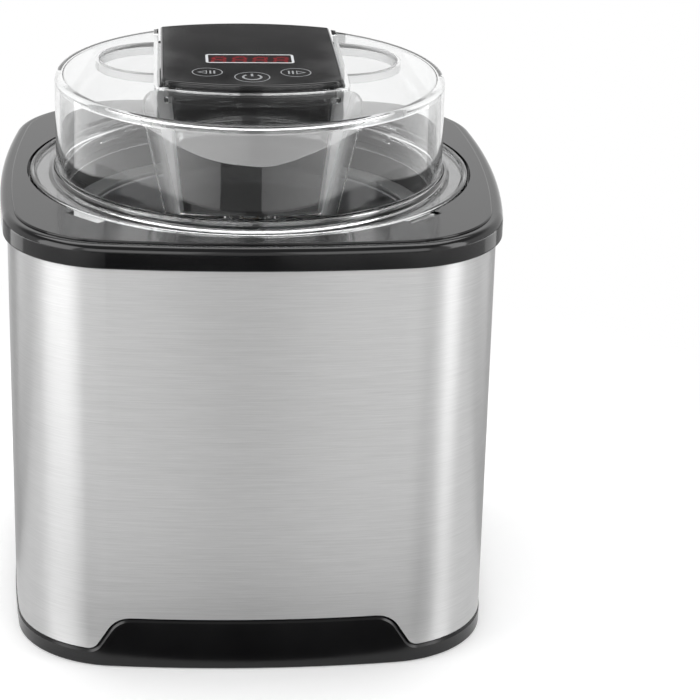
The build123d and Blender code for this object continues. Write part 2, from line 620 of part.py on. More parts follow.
def crown(sunk):
    """Everything below the crowned top of the head, lowered by a given depth."""
    barrel = Cylinder(CROWN_RADIUS - sunk, 4 * HEAD_HALF_WIDTH, rotation=(0, 90, 0))
    return Pos(0, CROWN_APEX, HEAD_TOP - CROWN_RADIUS) * barrel


head_outline = head_plan(HEAD_HALF_WIDTH, HEAD_FRONT, HEAD_BACK_RADIUS)
head_body = slab(head_outline, HEAD_LOW, HEAD_TOP + 1) & crown(0)
head_body = fillet(head_body.faces().sort_by(Axis.Z)[-1].edges(), HEAD_ROUNDING)
inner_plan = head_plan(HEAD_HALF_WIDTH - COVER_WALL, HEAD_FRONT + COVER_WALL, HEAD_BACK_RADIUS - COVER_WALL)
drive_cover = head_body - (slab(inner_plan, HEAD_LOW - 1, HEAD_TOP) & crown(CEILING))
film_bed = head_plan(HEAD_HALF_WIDTH - FILM_MARGIN, HEAD_FRONT + FILM_MARGIN, HEAD_BACK_RADIUS - FILM_MARGIN)
drive_cover -= slab(film_bed, HEAD_LOW, HEAD_TOP + 1) - crown(FILM_THICKNESS + BED_GAP)
for place in BOARD_POSTS:
    drive_cover += rod(BOARD_POST_RADIUS, BOARD_TOP, HEAD_TOP - CEILING, *place)
    drive_cover -= rod(BOARD_POST_HOLE[0], BOARD_TOP, BOARD_TOP + BOARD_POST_HOLE[1], *place)
for place in TAIL_SCREW_PLACES:
    drive_cover += rod(TAIL_POST_RADIUS, TAIL_TOP, HEAD_TOP - CEILING, *place) & crown(CEILING - 1)
    drive_cover -= rod(TAIL_POST_HOLE[0], TAIL_TOP, TAIL_TOP + TAIL_POST_HOLE[1], *place)
window_cut = Pos(*WINDOW_CENTRE) * offset(Rectangle(*WINDOW_SIZE), -WINDOW_LEDGE)
drive_cover -= slab(window_cut, HEAD_LOW + 2, HEAD_TOP + 1)
for place, radius in KEYS.values():
    pocket_depth = FILM_THICKNESS + KEY_TRAVEL + STEM_GAP
    drive_cover -= rod(radius + KEY_GAP, HEAD_LOW, HEAD_TOP + 1, *place) - crown(pocket_depth)
    drive_cover -= rod(KEY_STEM_RADIUS + STEM_GAP, HEAD_LOW, HEAD_TOP, *place)
gland_plane = Plane.XZ * Pos(0, GLAND_HEIGHT)
gland_outer = SlotOverall(GLAND_SIZE[0] + GLAND_WALL[0], GLAND_SIZE[1] + GLAND_WALL[1])
drive_cover -= extrude(gland_plane * offset(gland_outer, GLAND_GAP / 2), -FAR)
save("drive_cover", drive_cover)

film_inset = FILM_MARGIN + FILM_GAP
film_plan = head_plan(HEAD_HALF_WIDTH - film_inset, HEAD_FRONT + film_inset, HEAD_BACK_RADIUS - film_inset)
panel_skin = crown(0) - crown(FILM_THICKNESS)
panel_film = slab(film_plan, HEAD_LOW, HEAD_TOP + 1) & panel_skin
panel_film -= slab(Pos(*WINDOW_CENTRE) * Rectangle(*WINDOW_SIZE), HEAD_LOW, HEAD_TOP + 1)
for place, radius in KEYS.values():
    panel_film -= rod(radius + KEY_GAP, HEAD_LOW, HEAD_TOP + 1, *place)
save("panel_film", panel_film)

lens_plan = Pos(*WINDOW_CENTRE) * offset(Rectangle(*WINDOW_SIZE), -FILM_GAP)
save("display_lens", slab(lens_plan, HEAD_LOW, HEAD_TOP + 1) & panel_skin)
module_plan = Pos(*WINDOW_CENTRE) * Rectangle(*MODULE_SIZE)
save("display_module", slab(module_plan, BOARD_TOP, MODULE_TOP))

board_plan = tub_plan(TUB_HALF - BOARD_INSET, TUB_FRONT + BOARD_INSET, TUB_BACK - BOARD_INSET, BOARD_ROUNDING)
control_board = slab(board_plan, BOARD_LOW, BOARD_TOP)
for place in BOARD_POSTS:
    control_board -= rod(BOARD_HOLE_RADIUS, BOARD_LOW, BOARD_TOP, *place)
save("control_board", control_board)
board_screw = screw(head_radius=2.2, head_height=1.5, shank_radius=1.05, length=6.5)
save("board_screws", Compound([Pos(*place, BOARD_LOW) * board_screw for place in BOARD_POSTS]))

# Keys in the film, each with a stem that presses the plunger of a switch on the board
SWITCH_SIDE = 6.0
SWITCH_ROUNDING = 0.6
SWITCH_TOP = BOARD_TOP + 3.6
PLUNGER_RADIUS = 1.5
PLUNGER_TOP = SWITCH_TOP + 0.9
PLUNGER_LOW = SWITCH_TOP - 1.2
PLUNGER_GAP = 0.1
SWITCH_BORE_LOW = SWITCH_TOP - 2.2
switches = []
for node, (place, radius) in KEYS.items():
    cap = rod(radius, HEAD_LOW, HEAD_TOP + 1, *place) & panel_skin
    stem = rod(KEY_STEM_RADIUS, PLUNGER_TOP, HEAD_TOP, *place) & crown(FILM_THICKNESS / 2)
    save(node, cap + stem)
    save(node.replace("key", "plunger"), rod(PLUNGER_RADIUS, PLUNGER_LOW, PLUNGER_TOP, *place))
    switch_plan = Pos(*place) * RectangleRounded(SWITCH_SIDE, SWITCH_SIDE, SWITCH_ROUNDING)
    switch = slab(switch_plan, BOARD_TOP, SWITCH_TOP)
    switch -= rod(PLUNGER_RADIUS + PLUNGER_GAP, SWITCH_BORE_LOW, SWITCH_TOP, *place)
    switches.append(switch.solid())
save("tact_switches", Compound(switches))

tail_screw = screw(head_radius=3.0, head_height=1.1, shank_radius=1.2, length=3.6)
tail_seat = HEAD_LOW + TAIL_RECESS
save("tail_screws", Compound([Pos(*place, tail_seat) * tail_screw for place in TAIL_SCREW_PLACES]))

# Cord gland: oval bush through the back wall of the head
gland_back = HEAD_BACK_RADIUS + GLAND_PROUD
gland_length = COVER_WALL + GLAND_PROUD
gland_body = extrude(gland_plane * gland_outer, -gland_back)
gland_body -= extrude(gland_plane * SlotOverall(*GLAND_SIZE), -FAR)
gland_body &= Pos(0, gland_back, GLAND_HEIGHT) * Box(4 * GLAND_SIZE[0], 2 * gland_length, 4 * GLAND_SIZE[1])
save("cord_gland", gland_body)


# Gear train: the motor pinion drives a lay gear, whose pinion drives the output wheel
PRESSURE_ANGLE = radians(20.0)
ADDENDUM = 0.9
DEDENDUM = 1.25
BACKLASH = 0.06
FLANK_POINTS = 3
WHEEL_LOW = 197.0
WHEEL_HIGH = 203.0
UPPER_LOW = 203.6
UPPER_HIGH = 209.0
SHAFT_RADIUS = 4.5
MOTOR_RADIUS = 20.0
MOTOR_TOP = 234.0
MOTOR_SHAFT_RADIUS = 1.5
SHAFT_LOW = 162.0
RUNNING_GAP = 0.05
BUSH_HEAD_RADIUS = 8.5
PLATE_GAP = 0.8
PLATE_ROUNDING = 7.0
PLATE_HOLE_RADIUS = 1.5
MOTOR_BOSS_RADIUS = 5.0
MOTOR_BOSS_GAP = 0.2
MOTOR_ROUNDING = 2.0


def involute(angle):
    """Involute function of a pressure angle."""
    return tan(angle) - angle


def gear_plan(teeth):
    """Spur gear outline with involute flanks and a tooth centred on the X axis."""
    pitch = GEAR_MODULE * teeth / 2
    base = pitch * cos(PRESSURE_ANGLE)
    root = pitch - DEDENDUM * GEAR_MODULE
    tip = pitch + ADDENDUM * GEAR_MODULE
    half_tooth = pi / (2 * teeth) - BACKLASH / (2 * pitch)
    start = max(base, root)
    flank = []
    for step in range(FLANK_POINTS):
        radius = start + (tip - start) * step / (FLANK_POINTS - 1)
        spread = half_tooth + involute(PRESSURE_ANGLE) - involute(acos(base / radius))
        flank.append((radius, spread))
    if root < base:
        flank.insert(0, (root, flank[0][1]))
    points = []
    for tooth in range(teeth):
        middle = 2 * pi * tooth / teeth
        for radius, spread in flank:
            points.append((radius * cos(middle - spread), radius * sin(middle - spread)))
        for radius, spread in reversed(flank):
            points.append((radius * cos(middle + spread), radius * sin(middle + spread)))
    return make_face(Polyline(*points, close=True))


pinion_plan = gear_plan(PINION_TEETH)
wheel_plan = gear_plan(WHEEL_TEETH)
in_line = Rot(Z=LAY_ANGLE)
lay_offset = Pos(LAY_DISTANCE, 0)
motor_pinion = in_line * slab(pinion_plan - Circle(MOTOR_SHAFT_RADIUS + PRESS_GAP), UPPER_LOW, UPPER_HIGH)
save("motor_pinion", motor_pinion)
save("motor_shaft", rod(MOTOR_SHAFT_RADIUS, UPPER_LOW, MOTOR_TOP - 3))
lay_gear = slab(wheel_plan, UPPER_LOW, UPPER_HIGH) + slab(pinion_plan, WHEEL_LOW, UPPER_LOW)
lay_gear -= rod(PIN_RADIUS + RUNNING_GAP, WHEEL_LOW, UPPER_HIGH)
save("lay_gear", in_line * (lay_offset * lay_gear))
half_pitch = Rot(Z=180 / WHEEL_TEETH)
output_wheel = half_pitch * slab(wheel_plan - Circle(SHAFT_RADIUS + PRESS_GAP), WHEEL_LOW, WHEEL_HIGH)
save("output_wheel", in_line * output_wheel)
square_end = slab(RectangleRounded(SHAFT_SQUARE, SHAFT_SQUARE, 1.2), SHAFT_LOW, TUB_LOW)
square_end = chamfer(square_end.faces().sort_by(Axis.Z)[0].edges(), 1.0)
save("output_shaft", square_end + rod(SHAFT_RADIUS, TUB_LOW - 0.2, WHEEL_HIGH))

bush = rod(BUSH_RADIUS, TUB_LOW, BUSH_TOP) + rod(BUSH_HEAD_RADIUS, BUSH_TOP - BUSH_FLANGE, BUSH_TOP)
save("shaft_bush", bush - rod(SHAFT_RADIUS + RUNNING_GAP, TUB_LOW, BUSH_TOP))
save("lay_pin", rod(PIN_RADIUS, TUB_FLOOR_TOP, PLATE_HIGH, *LAY_PLACE))

plate_step = (HEAD_SEAT - PLATE_LOW) * tan(radians(TUB_TAPER)) + TUB_WALL + PLATE_GAP
plate_plan = tub_plan(TUB_HALF - plate_step, TUB_FRONT + plate_step, TUB_BACK - plate_step, PLATE_ROUNDING)
gearbox_plate = slab(plate_plan, PLATE_LOW, PLATE_HIGH)
gearbox_plate -= rod(MOTOR_BOSS_RADIUS + MOTOR_BOSS_GAP, PLATE_LOW, PLATE_HIGH)
gearbox_plate -= rod(PIN_RADIUS + PIN_GAP, PLATE_LOW, PLATE_HIGH, *LAY_PLACE)
for place in POST_PLACES:
    gearbox_plate -= rod(PLATE_HOLE_RADIUS, PLATE_LOW, PLATE_HIGH, *place)
save("gearbox_plate", gearbox_plate)
plate_screw = Rot(X=180) * screw(head_radius=2.6, head_height=1.8, shank_radius=1.2, length=10.0)
save("plate_screws", Compound([Pos(*place, PLATE_HIGH) * plate_screw for place in POST_PLACES]))

motor_can = rod(MOTOR_RADIUS, PLATE_HIGH, MOTOR_TOP)
motor_can = fillet(motor_can.faces().sort_by(Axis.Z)[-1].edges(), MOTOR_ROUNDING)
motor_can += rod(MOTOR_BOSS_RADIUS, PLATE_LOW - 1, PLATE_HIGH)
motor_can -= rod(MOTOR_SHAFT_RADIUS + RUNNING_GAP, PLATE_LOW - 1, MOTOR_TOP - 2.5)
save("motor_can", motor_can)
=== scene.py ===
import bpy
import math
from mathutils import Matrix, Vector


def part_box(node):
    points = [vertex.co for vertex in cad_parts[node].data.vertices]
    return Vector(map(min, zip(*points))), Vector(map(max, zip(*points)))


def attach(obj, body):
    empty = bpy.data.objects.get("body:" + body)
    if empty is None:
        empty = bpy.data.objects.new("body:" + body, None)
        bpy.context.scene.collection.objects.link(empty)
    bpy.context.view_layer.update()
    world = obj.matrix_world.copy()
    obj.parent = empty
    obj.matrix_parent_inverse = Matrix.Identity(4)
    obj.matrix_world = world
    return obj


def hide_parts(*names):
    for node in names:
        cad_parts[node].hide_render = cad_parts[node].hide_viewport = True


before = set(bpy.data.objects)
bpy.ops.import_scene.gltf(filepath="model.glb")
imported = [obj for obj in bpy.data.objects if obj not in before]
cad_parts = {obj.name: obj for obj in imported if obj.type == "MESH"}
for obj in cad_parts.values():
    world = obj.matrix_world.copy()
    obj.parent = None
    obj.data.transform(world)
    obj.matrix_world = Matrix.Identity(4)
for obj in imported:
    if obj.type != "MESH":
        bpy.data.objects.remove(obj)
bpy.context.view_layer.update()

# Camera: a long lens 1.2 m from the machine and about 21 degrees above it.
# It is aimed past the right of the machine, which stands in the left of the picture.
CAMERA_PLACE = Vector((-0.0434, -1.1153, 0.5525))
CAMERA_AIM = Vector((0.0494, 0.0, 0.1117))
CAMERA_ROLL = math.radians(1.535)
LENS_MM = 128.2
SENSOR_MM = 36.0
lens = bpy.data.cameras.new("Camera")
lens.lens = LENS_MM
lens.sensor_width = SENSOR_MM
camera = bpy.data.objects.new("Camera", lens)
aim = (CAMERA_AIM - CAMERA_PLACE).to_track_quat("-Z", "Y").to_matrix().to_4x4()
camera.matrix_world = Matrix.Translation(CAMERA_PLACE) @ aim @ Matrix.Rotation(CAMERA_ROLL, 4, "Z")
bpy.context.scene.collection.objects.link(camera)
bpy.context.scene.camera = camera

# Floor: a wide white table that runs out to plain white round the machine. Near the
# machine it is matt and keeps the soft shadow that the base throws on it.
FLOOR_WHITE = "#eeeeee"
FLOOR_HALF = 6.0
SHADOW_REACH = (0.17, 0.42)
FLOOR_LIFT = 0.22


def paint(code):
    """Linear colour of an sRGB hex code."""
    parts = [int(code[i:i + 2], 16) / 255 for i in (1, 3, 5)]
    return tuple(p / 12.92 if p <= 0.04045 else ((p + 0.055) / 1.055) ** 2.4 for p in parts) + (1.0,)


def node(tree, kind, inputs=None, **settings):
    """Adds a node, sets its properties, and sets or links its inputs."""
    added = tree.nodes.new(kind)
    for name, value in settings.items():
        setattr(added, name, value)
    for name, value in (inputs or {}).items():
        if isinstance(value, bpy.types.NodeSocket):
            tree.links.new(value, added.inputs[name])
        else:
            added.inputs[name].default_value = value
    return added


def blank(name):
    """A new material and its empty node tree."""
    made = bpy.data.materials.new(name)
    made.use_nodes = True
    made.node_tree.nodes.clear()
    return made, made.node_tree


floor_paint, tree = blank("white_floor")
path = node(tree, "ShaderNodeLightPath").outputs
seen = node(tree, "ShaderNodeMath", {0: path["Is Camera Ray"], 1: path["Is Transmission Ray"]},
            operation="MAXIMUM").outputs[0]
seen = node(tree, "ShaderNodeMath", {0: seen, 1: path["Is Glossy Ray"]}, operation="MAXIMUM").outputs[0]
spot = node(tree, "ShaderNodeTexCoord").outputs["Object"]
reach = node(tree, "ShaderNodeVectorMath", {0: spot}, operation="LENGTH").outputs["Value"]
far = node(tree, "ShaderNodeMapRange",
           {"Value": reach, "From Min": SHADOW_REACH[0], "From Max": SHADOW_REACH[1]},
           interpolation_type="SMOOTHERSTEP").outputs["Result"]
lift = node(tree, "ShaderNodeMath", {0: seen, 1: FLOOR_LIFT}, operation="MULTIPLY").outputs[0]
matt = node(tree, "ShaderNodeBsdfDiffuse", {"Color": paint(FLOOR_WHITE)})
glow = node(tree, "ShaderNodeEmission", {"Strength": lift})
near_floor = node(tree, "ShaderNodeAddShader", {0: matt.outputs[0], 1: glow.outputs[0]})
white = node(tree, "ShaderNodeEmission", {"Strength": 1.0})
share = node(tree, "ShaderNodeMath", {0: seen, 1: far}, operation="MULTIPLY").outputs[0]
both = node(tree, "ShaderNodeMixShader", {0: share, 1: near_floor.outputs[0], 2: white.outputs[0]})
node(tree, "ShaderNodeOutputMaterial", {"Surface": both.outputs[0]})
sheet = bpy.data.meshes.new("studio_floor")
square = ((-1, -1), (1, -1), (1, 1), (-1, 1))
sheet.from_pydata([(x * FLOOR_HALF, y * FLOOR_HALF, 0) for x, y in square], [], [(0, 1, 2, 3)])
sheet.materials.append(floor_paint)
floor = bpy.data.objects.new("studio_floor", sheet)
bpy.context.scene.collection.objects.link(floor)

# Cards: panels on the table and behind the machine, seen only in shiny surfaces or through
# the lid. Dark ones keep the black mouldings black; bright ones fill the steel and lie as a
# pale sheen on the drum of the lid. Graded ones fade from one side to the other.
CARD_RISE = 0.001
RING_CARD_RISE = 0.0015
WELL_CARD_RISE = 0.002
SIDE_CARD_RISE = 0.0006
STRIP_HALF = 0.5
SECTOR_STEPS = 24
SECTOR_STRETCH = 1.12
BACK_AT = 1.4
BACK_SIDES = (-0.042, 0.152)
WELL_CARD = ((-0.2, -0.2), (-0.3, -0.5), (0.3, -0.5), (0.2, -0.2))
SIDE_CARD = ((-0.118, 0.0), (-1.6, 0.1), (-1.2, 1.5), (-0.118, 0.35))


def flat(outline, rise):
    """Corners of a panel that lies just above the table."""
    return [(x, y, rise) for x, y in outline]


def strip(near, far):
    """Corners of a straight panel on the table across the front."""
    sides = ((-STRIP_HALF, -near), (-STRIP_HALF, -far), (STRIP_HALF, -far), (STRIP_HALF, -near))
    return flat(sides, CARD_RISE)


def sector(near, far, start, end, rise=CARD_RISE):
    """Corners of part of an oval ring on the table round the machine; angles in degrees."""
    turns = [math.radians(start + (end - start) * i / SECTOR_STEPS) for i in range(SECTOR_STEPS + 1)]
    return flat([(SECTOR_STRETCH * r * math.cos(turn), r * math.sin(turn))
                 for r, along in ((near, turns), (far, turns[::-1])) for turn in along], rise)


def upright(low, high):
    """Corners of a panel that stands behind the machine."""
    left, right = BACK_SIDES
    return [(x, BACK_AT, z) for x, z in ((left, low), (right, low), (right, high), (left, high))]


# name, corners, brightness at the left and right edge, seen in reflections, seen through the lid
CARDS = (
    ("card_near", strip(0.118, 0.175), 0.05, 0.05, True, False),
    ("card_low", strip(0.175, 0.3), 1.15, 1.15, True, False),
    ("card_steel", strip(0.3, 0.46), 0.4, 0.4, True, False),
    ("card_ring", sector(0.5, 0.69, -112, -68, RING_CARD_RISE), 0.05, 0.05, True, False),
    ("card_ring_left", sector(0.5, 0.69, -190, -112, RING_CARD_RISE), 1.0, 0.05, True, False),
    ("card_ring_right", sector(0.5, 0.69, -68, 10, RING_CARD_RISE), 0.05, 1.0, True, False),
    ("card_front", sector(0.5, 0.83, -106, -86), 0.12, 0.08, True, False),
    ("card_wedge", sector(0.5, 0.83, -106, -86), 0.6, 0.6, False, True),
    ("card_front_left", sector(0.52, 0.83, -134, -106), 2.3, 0.8, True, True),
    ("card_front_right", sector(0.52, 0.83, -86, -45), 0.9, 2.0, True, True),
    ("card_side_left", sector(0.52, 0.83, -215, -134), 1.9, 1.9, True, True),
    ("card_side_right", sector(0.52, 0.83, -45, 35), 1.5, 1.5, True, True),
    ("card_sheen_left", sector(0.83, 0.92, -215, -92), 7.4, 6.6, True, False),
    ("card_sheen_right", sector(0.83, 0.92, -92, 35), 5.8, 6.2, True, False),
    ("card_beyond", sector(0.92, 1.6, -125, -55), 0.05, 0.05, True, False),
    ("card_far_left", sector(0.83, 1.05, -130, -94), 0.9, 0.02, False, True),
    ("card_far_right", sector(0.83, 1.05, -94, -50), 0.02, 1.0, False, True),
    ("card_well", flat(WELL_CARD, WELL_CARD_RISE), 0.3, 0.4, False, True),
    ("card_back", upright(0.3, 0.63), 0.13, 0.13, True, True),
    ("card_back_top", upright(0.63, 0.76), 0.035, 0.035, True, True),
    ("card_left", flat(SIDE_CARD, SIDE_CARD_RISE), 0.45, 0.45, True, False),
    ("card_right", flat([(-x, y) for x, y in SIDE_CARD[::-1]], SIDE_CARD_RISE), 0.45, 0.45, True, False),
)
for name, corners, left, right, in_mirrors, through_lid in CARDS:
    card_paint, tree = blank(name)
    level = left
    if left != right:
        spot = node(tree, "ShaderNodeTexCoord").outputs["Object"]
        across = node(tree, "ShaderNodeSeparateXYZ", {0: spot}).outputs["X"]
        sides = [corner[0] for corner in corners]
        level = node(tree, "ShaderNodeMapRange", {
            "Value": across, "From Min": min(sides), "From Max": max(sides),
            "To Min": left, "To Max": right}).outputs["Result"]
    glow = node(tree, "ShaderNodeEmission", {"Strength": level})
    node(tree, "ShaderNodeOutputMaterial", {"Surface": glow.outputs[0]})
    sheet = bpy.data.meshes.new(name)
    sheet.from_pydata(corners, [], [range(len(corners))])
    sheet.materials.append(card_paint)
    card = bpy.data.objects.new(name, sheet)
    card.visible_camera = False
    card.visible_diffuse = False
    card.visible_shadow = False
    card.visible_glossy = in_mirrors
    card.visible_transmission = through_lid
    bpy.context.scene.collection.objects.link(card)

# Room: a dim, even fill for matt surfaces. It is white to the eye, and white low down in
# reflections and through the lid. Each pair below is the upward slope of view, as a sine, at
# which that white begins and is full.
FILL = 0.34
WHITE_THROUGH_LID = (0.25, 0.1)
WHITE_IN_MIRRORS = (0.6, 0.45)
world = bpy.data.worlds.new("studio")
world.use_nodes = True
tree = world.node_tree
tree.nodes.clear()
path = node(tree, "ShaderNodeLightPath").outputs
way = node(tree, "ShaderNodeTexCoord").outputs["Generated"]
rise = node(tree, "ShaderNodeSeparateXYZ", {0: way}).outputs["Z"]
seen = path["Is Camera Ray"]
for ray, (none, full) in (("Is Glossy Ray", WHITE_IN_MIRRORS), ("Is Transmission Ray", WHITE_THROUGH_LID)):
    low = node(tree, "ShaderNodeMapRange", {"Value": rise, "From Min": none, "From Max": full})
    part = node(tree, "ShaderNodeMath", {0: path[ray], 1: low.outputs["Result"]}, operation="MULTIPLY")
    seen = node(tree, "ShaderNodeMath", {0: seen, 1: part.outputs[0]}, operation="MAXIMUM").outputs[0]
level = node(tree, "ShaderNodeMapRange", {"Value": seen, "To Min": FILL, "To Max": 1.0}).outputs["Result"]
sky = node(tree, "ShaderNodeBackground", {"Color": (1, 1, 1, 1), "Strength": level})
node(tree, "ShaderNodeOutputWorld", {"Surface": sky.outputs[0]})
bpy.context.scene.world = world
bpy.context.scene.view_settings.view_transform = "Standard"

# Soft boxes: one at each side, one above and two in front. The side ones draw the bright
# upright bands on the corners of the steel, the others light the lid and the head evenly.
# name, place, aim, width, height, watts
SOFT_BOXES = (
    ("left_box", (-1.1, -0.58, 0.5), (0, 0, 0.12), 0.85, 1.2, 9.0),
    ("right_box", (1.13, -0.5, 0.5), (0, 0, 0.12), 0.40, 1.2, 5.0),
    ("top_box", (0.0, 0.4, 1.45), (0, 0, 0.2), 1.6, 0.9, 14.0),
    ("front_left_box", (-0.55, -1.5, 0.75), (0, 0, 0.15), 0.9, 1.0, 5.0),
    ("front_right_box", (0.6, -1.45, 0.75), (0, 0, 0.15), 0.9, 1.0, 5.0),
)
for name, place, target, width, height, watts in SOFT_BOXES:
    lamp = bpy.data.lights.new(name, "AREA")
    lamp.shape = "RECTANGLE"
    lamp.size = width
    lamp.size_y = height
    lamp.energy = watts
    box = bpy.data.objects.new(name, lamp)
    facing = (Vector(target) - Vector(place)).to_track_quat("-Z", "Y").to_matrix().to_4x4()
    box.matrix_world = Matrix.Translation(place) @ facing
    box.visible_camera = False
    bpy.context.scene.collection.objects.link(box)

# Base tray: injection moulded black polypropylene, with the front plinth as part of it; the
# steel is cut out around the plinth. Its fine satin face mirrors softly, and its bevels
# catch the light as a thin line.
NOISE_SPAN = (0.3, 0.7)


def mottled(name, dark, light, rough, grain, depth, patch=0.02, **shader):
    """Material in two close shades, with uneven gloss and a grain; sizes in metres.

    The grain is drawn coarser than the real one, which is too fine to show.
    """
    made, tree = blank(name)
    spot = node(tree, "ShaderNodeTexCoord").outputs["Object"]
    cloud = node(tree, "ShaderNodeTexNoise", {"Vector": spot, "Scale": 1 / patch, "Detail": 3.0}).outputs[0]
    fine = node(tree, "ShaderNodeTexNoise", {"Vector": spot, "Scale": 1 / grain, "Detail": 2.0}).outputs[0]
    shade = node(tree, "ShaderNodeMix", {0: cloud, 6: paint(dark), 7: paint(light)}, data_type="RGBA")
    gloss = node(tree, "ShaderNodeMapRange", {
        "Value": cloud, "From Min": NOISE_SPAN[0], "From Max": NOISE_SPAN[1],
        "To Min": rough[0], "To Max": rough[1]})
    relief = node(tree, "ShaderNodeBump", {"Height": fine, "Strength": 1.0, "Distance": depth})
    surface = node(tree, "ShaderNodeBsdfPrincipled", {
        "Base Color": shade.outputs[2], "Roughness": gloss.outputs["Result"],
        "Normal": relief.outputs["Normal"]})
    for socket, value in shader.items():
        surface.inputs[socket].default_value = value
    node(tree, "ShaderNodeOutputMaterial", {"Surface": surface.outputs["BSDF"]})
    return made


def dress(material, *names):
    """Gives pieces of the frame their material."""
    for name in names:
        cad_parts[name].material_slots[0].material = material


satin_black = mottled("satin_black_polypropylene", "#050506", "#080809",
                      rough=(0.2, 0.26), grain=0.0004, depth=0.000002, IOR=1.49)
dress(satin_black, "base_tray")

# Feet and screws: four feet pressed from black rubber and pushed into sockets of the base,
# which four screws between them hold to the pillars of the bucket. The cord's gland is of
# the same rubber, and the other screws are like those of the base.

# Rubber looks dusty and matt, and mirrors nothing.
rubber = mottled("black_rubber", "#151515", "#1f1f1f",
                 rough=(0.75, 0.9), grain=0.0006, depth=0.00002, IOR=1.52)
dress(rubber, "rubber_feet", "cord_gland")

# Zinc plate is a bright grey metal with a soft, slightly cloudy gloss.
zinc = mottled("zinc_plated_steel", "#a9abae", "#c3c4c4",
               rough=(0.28, 0.4), grain=0.0003, depth=0.000002, Metallic=1.0)
dress(zinc, "base_screws", "ring_screws", "board_screws", "tail_screws", "plate_screws")

# Steel wrap: stainless sheet brushed along its length and bent round the body, so the lines
# run round it. The scratches draw highlights out into upright bands. Real ones are a tenth
# of a millimetre wide and are drawn wider, so that they show.
STEEL_DARK = "#aeaeae"
STEEL_LIGHT = "#d5d5d5"
STEEL_ROUGH = (0.40, 0.48)
BRUSH_LENGTH = 0.02
BRUSH_WIDTH = 0.0004
BRUSH_DEPTH = 0.00001
steel, tree = blank("brushed_stainless_steel")
spot = node(tree, "ShaderNodeTexCoord").outputs["Object"]
drawn = node(tree, "ShaderNodeMapping",
             {"Vector": spot, "Scale": (1 / BRUSH_LENGTH, 1 / BRUSH_LENGTH, 1 / BRUSH_WIDTH)}).outputs[0]
lines = node(tree, "ShaderNodeTexNoise",
             {"Vector": drawn, "Scale": 1.0, "Detail": 4.0, "Roughness": 0.65}).outputs["Fac"]
shade = node(tree, "ShaderNodeMix", {0: lines, 6: paint(STEEL_DARK), 7: paint(STEEL_LIGHT)}, data_type="RGBA")
gloss = node(tree, "ShaderNodeMapRange", {
    "Value": lines, "From Min": NOISE_SPAN[0], "From Max": NOISE_SPAN[1],
    "To Min": STEEL_ROUGH[0], "To Max": STEEL_ROUGH[1]})
relief = node(tree, "ShaderNodeBump", {"Height": lines, "Strength": 0.25, "Distance": BRUSH_DEPTH})
around = node(tree, "ShaderNodeTangent", direction_type="RADIAL", axis="Z")
surface = node(tree, "ShaderNodeBsdfPrincipled", {
    "Base Color": shade.outputs[2], "Metallic": 1.0, "Roughness": gloss.outputs["Result"],
    "Anisotropic": 0.9, "Anisotropic Rotation": 0.25, "Tangent": around.outputs[0],
    "Normal": relief.outputs["Normal"]})
node(tree, "ShaderNodeOutputMaterial", {"Surface": surface.outputs["BSDF"]})
dress(steel, "steel_shell")

# Inner bucket: dark moulded liner that the freezer bowl stands in. It hangs from the top
# ring by its flange, and its coarser face is duller than the ring.
liner = mottled("dark_liner_plastic", "#161718", "#1d1e1f",
                rough=(0.36, 0.46), grain=0.0005, depth=0.000006, IOR=1.49)
dress(liner, "inner_bucket")

# Top ring: black moulding with a stepped shoulder, screwed from below to the bucket's flange.
# Its smooth satin face is black in front, and seen at a low angle its deck turns grey with
# reflected light.
ring_black = mottled("satin_black_ring_plastic", "#050506", "#080809",
                     rough=(0.09, 0.13), grain=0.0004, depth=0.0000005, IOR=1.5)
dress(ring_black, "top_ring")

# Freezer bowl: aluminium cup in a pale plastic shell with gel between them, closed by a
# welded grey rim. The cup is spun, and fine turning lines round it spread highlights into
# soft rings; the lines are drawn coarser than the real ones, so that they show.
TURNING_PITCH = 0.0006
TURNING_DEPTH = 0.00001
CUP_DARK = "#b9babd"
CUP_LIGHT = "#d2d3d5"
CUP_ROUGH = (0.42, 0.58)
aluminium, tree = blank("spun_aluminium")
spot = node(tree, "ShaderNodeTexCoord").outputs["Object"]
flat_spot = node(tree, "ShaderNodeVectorMath", {0: spot, 1: (1, 1, 0)}, operation="MULTIPLY").outputs[0]
radius = node(tree, "ShaderNodeVectorMath", {0: flat_spot}, operation="LENGTH").outputs["Value"]
height = node(tree, "ShaderNodeSeparateXYZ", {0: spot}).outputs["Z"]
track = node(tree, "ShaderNodeCombineXYZ", {"X": radius, "Z": height}).outputs[0]
turning = node(tree, "ShaderNodeTexNoise",
               {"Vector": track, "Scale": 1 / TURNING_PITCH, "Detail": 3.0}).outputs["Fac"]
shade = node(tree, "ShaderNodeMix", {0: turning, 6: paint(CUP_DARK), 7: paint(CUP_LIGHT)}, data_type="RGBA")
gloss = node(tree, "ShaderNodeMapRange", {"Value": turning, "To Min": CUP_ROUGH[0], "To Max": CUP_ROUGH[1]})
relief = node(tree, "ShaderNodeBump", {"Height": turning, "Strength": 0.3, "Distance": TURNING_DEPTH})
surface = node(tree, "ShaderNodeBsdfPrincipled", {
    "Base Color": shade.outputs[2], "Metallic": 1.0, "Roughness": gloss.outputs["Result"],
    "Normal": relief.outputs["Normal"]})
node(tree, "ShaderNodeOutputMaterial", {"Surface": surface.outputs["BSDF"]})
dress(aluminium, "bowl_cup")

# The shell is moulded with a plain satin face that looks soft and even; the rim is the
# same plastic in mid grey.
pale_plastic = mottled("pale_grey_polypropylene", "#d3d3cf", "#dcdcd8",
                       rough=(0.4, 0.5), grain=0.0005, depth=0.000005, IOR=1.49)
dress(pale_plastic, "bowl_shell")
rim_plastic = mottled("mid_grey_polypropylene", "#8b8c8c", "#979898",
                      rough=(0.4, 0.5), grain=0.0005, depth=0.000005, IOR=1.49)
dress(rim_plastic, "bowl_rim")

